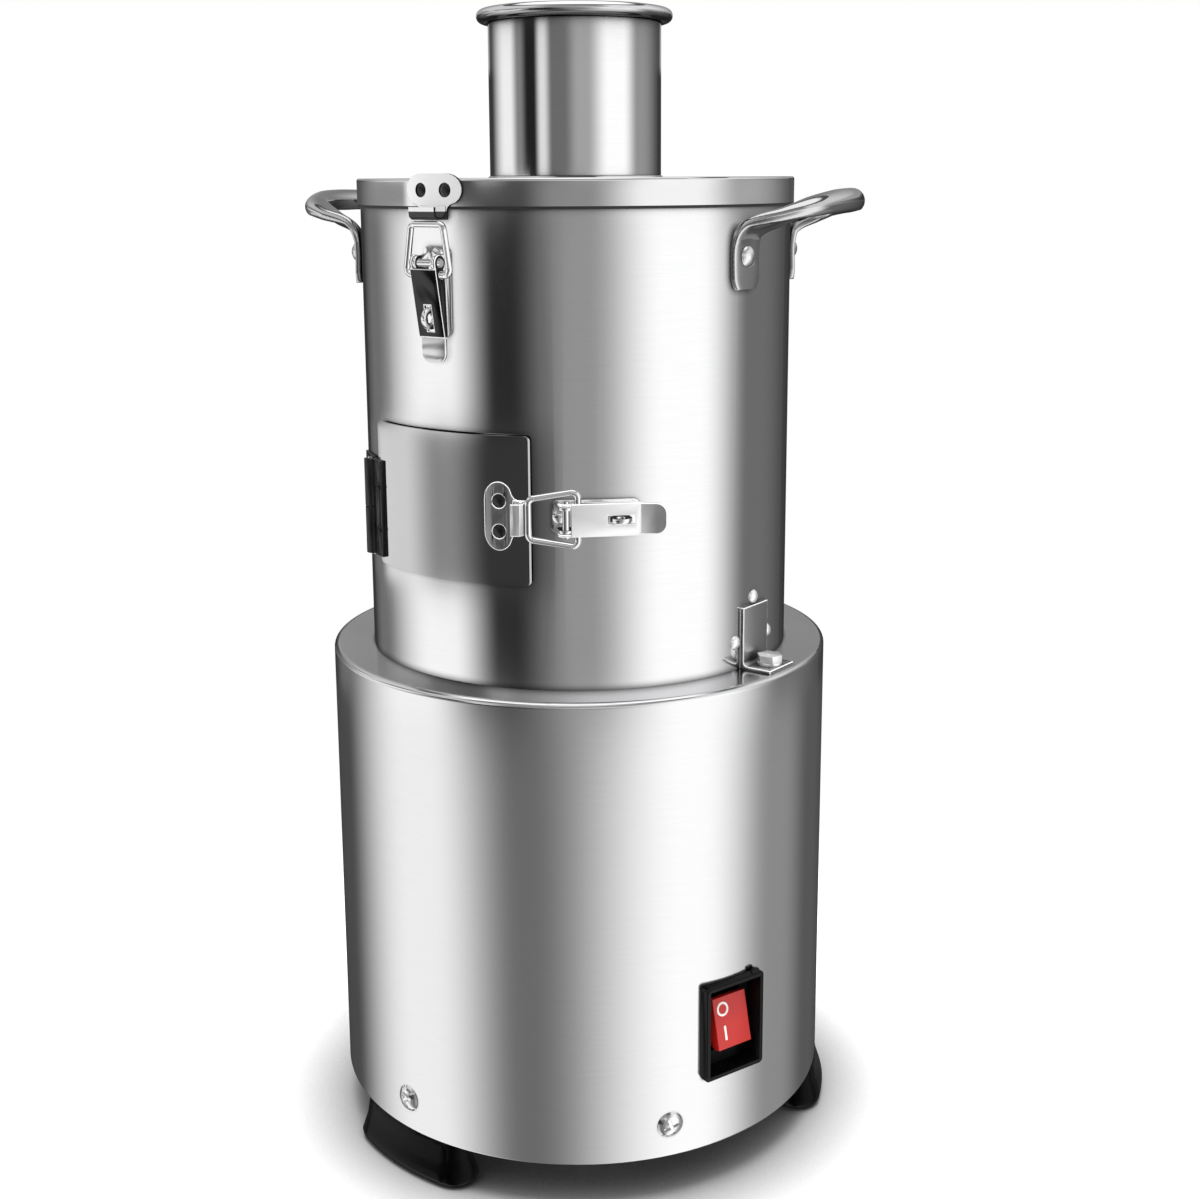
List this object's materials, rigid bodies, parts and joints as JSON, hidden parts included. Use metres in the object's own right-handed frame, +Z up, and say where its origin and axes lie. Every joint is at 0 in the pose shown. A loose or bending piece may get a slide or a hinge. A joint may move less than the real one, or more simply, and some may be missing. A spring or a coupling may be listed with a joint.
{
  "type": "garlic peeling machine",
  "caption": "Round steel garlic peeler: motor base with rocker switch, drum with latched curved door and side handles, latched lid with a rimmed feed tube.",
  "frame": {"origin": "on the drum's axis at floor level, under the feet", "axes": "+Z up along the drum axis, +X towards the right handle, -Y towards the discharge door"},
  "size_m": [0.2648, 0.2365, 0.5221],
  "materials": {
    "polished_steel": "polished stainless sheet",
    "satin_steel": "satin stainless sheet",
    "bright_steel": "bright stainless",
    "motor_paint": "dark enamel",
    "motor_alloy": "die cast",
    "black_plastic": "moulded",
    "black_hinge": "black lacquer",
    "red_plastic": "moulded",
    "white_print": "printed",
    "black_rubber": "moulded",
    "lead_cover": "extruded"
  },
  "bodies": {
    "frame": {"base_shell": "polished_steel", "bottom_plate": "satin_steel", "foot_front": "black_plastic", "foot_right": "black_plastic", "foot_rear": "black_plastic", "base_screws": "bright_steel", "foot_screws": "bright_steel", "switch_bezel": "black_plastic", "switch_body": "black_plastic", "cable_gland": "black_plastic", "gland_nut": "black_plastic", "motor_housing": "motor_paint", "motor_top_bell": "motor_alloy", "motor_bottom_bell": "motor_alloy", "motor_bolts": "bright_steel", "bearings": "bright_steel", "capacitor": "motor_alloy", "capacitor_clip": "satin_steel", "leads": "lead_cover", "drum_shell": "polished_steel", "drum_floor": "satin_steel", "shaft_seal": "black_rubber", "wall_strips": "black_rubber", "bracket_right": "satin_steel", "bracket_left": "satin_steel", "bracket_welds": "bright_steel", "bracket_bolts": "bright_steel", "bracket_nuts": "bright_steel", "handle_right": "bright_steel", "handle_left": "bright_steel", "handle_rivets": "bright_steel", "latch_plates": "satin_steel", "latch_pins": "bright_steel", "latch_rivets": "bright_steel", "drum_hinge_leaf": "black_hinge", "hinge_pin": "bright_steel", "drum_hinge_screws": "bright_steel"},
    "lid": {"lid": "satin_steel", "lid_gasket": "black_rubber", "feed_tube": "polished_steel", "lid_keepers": "bright_steel", "lid_rivets": "bright_steel"},
    "rotor": {"rotor": "bright_steel", "peeling_disc": "bright_steel", "disc_pads": "black_rubber", "disc_nut": "bright_steel"},
    "door": {"door_panel": "satin_steel", "door_gasket": "black_rubber", "door_keeper": "bright_steel", "door_rivets": "bright_steel", "door_hinge_leaf": "black_hinge", "door_hinge_screws": "bright_steel"},
    "rocker": {"rocker": "red_plastic", "rocker_marks": "white_print"},
    "lid_lever_front": {"lid_lever_front": "bright_steel"},
    "lid_bail_front": {"lid_bail_front": "bright_steel"},
    "lid_lever_rear": {"lid_lever_rear": "bright_steel"},
    "lid_bail_rear": {"lid_bail_rear": "bright_steel"},
    "door_lever": {"door_lever": "bright_steel"},
    "door_bail": {"door_bail": "bright_steel"}
  },
  "joints": [
    {"name": "lid_lift", "type": "slide", "parent": "frame", "child": "lid", "axis": [0, 0, 1], "range_m": [0, 0.08]},
    {"name": "disc_spin", "type": "hinge", "parent": "frame", "child": "rotor", "pos_m": [0, 0, 0.233], "axis": [0, 0, 1], "continuous": true},
    {"name": "door_swing", "type": "hinge", "parent": "frame", "child": "door", "pos_m": [-0.07284, -0.07155, 0.311], "axis": [0, 0, -1], "range_deg": [0, 110]},
    {"name": "switch_rock", "type": "hinge", "parent": "frame", "child": "rocker", "pos_m": [0.08782, -0.06287, 0.076], "axis": [0.5821, 0.8131, 0], "range_deg": [0, 26]},
    {"name": "lid_latch_front", "type": "hinge", "parent": "frame", "child": "lid_lever_front", "pos_m": [-0.02908, -0.10141, 0.4139], "axis": [-0.9613, 0.2756, 0], "range_deg": [0, 140]},
    {"name": "lid_bail_front", "type": "hinge", "parent": "lid_lever_front", "child": "lid_bail_front", "pos_m": [-0.02891, -0.10084, 0.4089], "axis": [0.9613, -0.2756, 0], "range_deg": [0, 166.2]},
    {"name": "lid_latch_rear", "type": "hinge", "parent": "frame", "child": "lid_lever_rear", "pos_m": [-0.02552, 0.10237, 0.4139], "axis": [0.9703, 0.2419, 0], "range_deg": [0, 140]},
    {"name": "lid_bail_rear", "type": "hinge", "parent": "lid_lever_rear", "child": "lid_bail_rear", "pos_m": [-0.02538, 0.10178, 0.4089], "axis": [-0.9703, -0.2419, 0], "range_deg": [0, 166.2]},
    {"name": "door_latch", "type": "hinge", "parent": "frame", "child": "door_lever", "pos_m": [0.03085, -0.10089, 0.309], "axis": [0, 0, -1], "range_deg": [0, 140]},
    {"name": "door_bail", "type": "hinge", "parent": "door_lever", "child": "door_bail", "pos_m": [0.03545, -0.09885, 0.309], "axis": [0, 0, 1], "range_deg": [0, 166.2]}
  ],
  "couplings": [
    {"joint": "lid_bail_front", "follows": "lid_latch_front", "ratio": 1.18},
    {"joint": "lid_bail_rear", "follows": "lid_latch_rear", "ratio": 1.18},
    {"joint": "door_bail", "follows": "door_latch", "ratio": 1.18}
  ]
}
